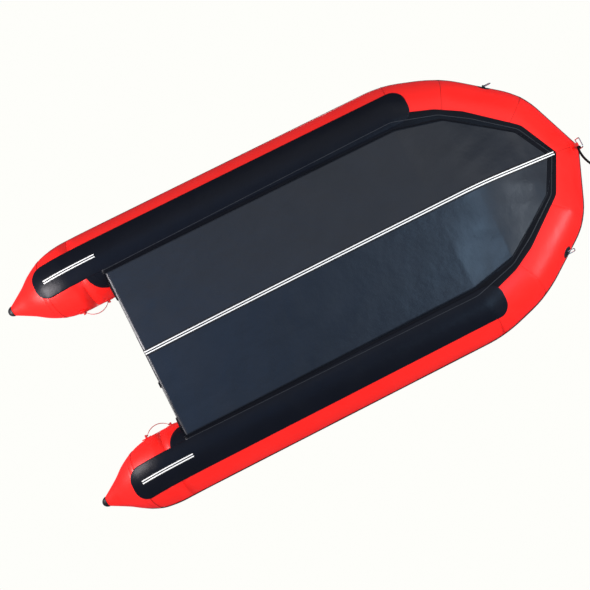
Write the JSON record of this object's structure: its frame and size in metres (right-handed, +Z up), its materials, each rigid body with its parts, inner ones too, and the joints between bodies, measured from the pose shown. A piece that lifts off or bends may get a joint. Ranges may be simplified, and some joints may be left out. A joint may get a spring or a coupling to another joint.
{
  "type": "inflatable dinghy",
  "caption": "Inflatable sport dinghy with coned side tubes, mitred bow tube, V bottom, transom board, floor boards, benches, webbing loops and a painter.",
  "frame": {"origin": "middle of the boat's bounding box, without its painter, at the lowest line of the keel", "axes": "+X to port, +Y towards the stern cones with the bow at -Y, +Z up"},
  "size_m": [1.8694, 4.0954, 0.7273],
  "materials": {
    "tube_red": "coated fabric with a soft sheen",
    "webbing_red": "woven webbing",
    "trim_black": "coated fabric and rubber strip with a soft sheen",
    "guard_white": "ribbed rubber strip",
    "guard_black": "ribbed rubber strip with two white ribs",
    "hull_black": "glossy coated fabric",
    "steel": "polished stainless wire",
    "rope_black": "braided rope",
    "board_grey": "painted marine plywood",
    "pad_black": "moulded plastic",
    "plug_grey": "moulded plastic",
    "cap_black": "moulded plastic",
    "floor_alloy": "brushed sheet",
    "joiner_alloy": "extruded profile"
  },
  "bodies": {
    "hull": {"port_tube": "tube_red", "starboard_tube": "tube_red", "bow_tube": "tube_red", "port_cone": "tube_red", "starboard_cone": "tube_red", "port_cone_cap": "trim_black", "starboard_cone_cap": "trim_black", "baffles": "tube_red", "port_doubler": "trim_black", "starboard_doubler": "trim_black", "port_tube_guard": "guard_white", "starboard_tube_guard": "guard_white", "port_bottom_panel": "hull_black", "starboard_bottom_panel": "hull_black", "keel_guard": "guard_black", "port_seam_tape": "trim_black", "starboard_seam_tape": "trim_black", "stern_hem": "trim_black", "port_transom_patch": "trim_black", "starboard_transom_patch": "trim_black", "rub_rail": "trim_black", "handle_anchors": "tube_red", "bow_ring_patch": "tube_red", "port_ring_patch": "trim_black", "starboard_ring_patch": "trim_black", "painter_eye": "rope_black", "painter_rope": "rope_black", "painter_coil": "rope_black", "drain_valve": "pad_black", "transom_board": "board_grey", "inner_motor_pad": "pad_black", "outer_motor_pad": "pad_black", "motor_pad_bolts": "steel", "port_transom_holder": "trim_black", "starboard_transom_holder": "trim_black", "air_keel": "hull_black", "floor_aft": "floor_alloy", "floor_middle": "floor_alloy", "floor_bow": "floor_alloy", "floor_joiners": "joiner_alloy", "stringers": "joiner_alloy", "port_valve": "plug_grey", "starboard_valve": "plug_grey", "bow_valve": "plug_grey", "keel_valve": "plug_grey", "seat_rails": "trim_black", "port_oar_socket": "trim_black", "starboard_oar_socket": "trim_black"},
    "bow_ring_body": {"bow_ring": "steel"},
    "port_ring_body": {"port_ring": "steel"},
    "starboard_ring_body": {"starboard_ring": "steel"},
    "port_handle_body": {"port_handle": "webbing_red"},
    "starboard_handle_body": {"starboard_handle": "webbing_red"},
    "port_valve_cap_body": {"port_valve_cap": "cap_black"},
    "starboard_valve_cap_body": {"starboard_valve_cap": "cap_black"},
    "bow_valve_cap_body": {"bow_valve_cap": "cap_black"},
    "keel_valve_cap_body": {"keel_valve_cap": "cap_black"},
    "drain_plug_body": {"drain_plug": "plug_grey"},
    "aft_bench_body": {"aft_bench": "floor_alloy"},
    "forward_bench_body": {"forward_bench": "floor_alloy"}
  },
  "joints": [
    {"name": "bow_ring_swing", "type": "hinge", "parent": "hull", "child": "bow_ring_body", "pos_m": [0, -1.89041, 0.39909], "axis": [1, 0, 0], "range_deg": [-25, 25]},
    {"name": "port_ring_swing", "type": "hinge", "parent": "hull", "child": "port_ring_body", "pos_m": [0.61366, -1.51602, 0.35529], "axis": [-0.2903, 0.0162, -0.9568], "range_deg": [-100, 26]},
    {"name": "starboard_ring_swing", "type": "hinge", "parent": "hull", "child": "starboard_ring_body", "pos_m": [-0.61366, -1.51602, 0.35529], "axis": [-0.2903, -0.0162, 0.9568], "range_deg": [-100, 26]},
    {"name": "port_handle_swing", "type": "hinge", "parent": "hull", "child": "port_handle_body", "pos_m": [0.44955, 1.38038, 0.325], "axis": [-0.0082, -1, 0], "range_deg": [-40, 40]},
    {"name": "starboard_handle_swing", "type": "hinge", "parent": "hull", "child": "starboard_handle_body", "pos_m": [-0.44955, 1.38038, 0.325], "axis": [-0.0082, 1, 0], "range_deg": [-40, 40]},
    {"name": "port_valve_turn", "type": "hinge", "parent": "hull", "child": "port_valve_cap_body", "pos_m": [0.5568, 0.89949, 0.5175], "axis": [-0.5736, 0.0047, 0.8191], "range_deg": [0, 90]},
    {"name": "starboard_valve_turn", "type": "hinge", "parent": "hull", "child": "starboard_valve_cap_body", "pos_m": [-0.5568, 0.89949, 0.5175], "axis": [0.5736, 0.0047, 0.8191], "range_deg": [0, 90]},
    {"name": "bow_valve_turn", "type": "hinge", "parent": "hull", "child": "bow_valve_cap_body", "pos_m": [0.36286, -1.23117, 0.59732], "axis": [-0.3772, 0.4531, 0.8078], "range_deg": [0, 90]},
    {"name": "keel_valve_turn", "type": "hinge", "parent": "hull", "child": "keel_valve_cap_body", "pos_m": [0, 0.80836, 0], "axis": [0, 0, 1], "range_deg": [0, 90]},
    {"name": "drain_plug_pull", "type": "slide", "parent": "hull", "child": "drain_plug_body", "axis": [0, -1, 0], "range_m": [0, 0.045]},
    {"name": "aft_bench_slide", "type": "slide", "parent": "hull", "child": "aft_bench_body", "axis": [0, -1, 0], "range_m": [-0.17, 0.2]},
    {"name": "forward_bench_slide", "type": "slide", "parent": "hull", "child": "forward_bench_body", "axis": [0, -1, 0], "range_m": [-0.2, 0.2]}
  ]
}
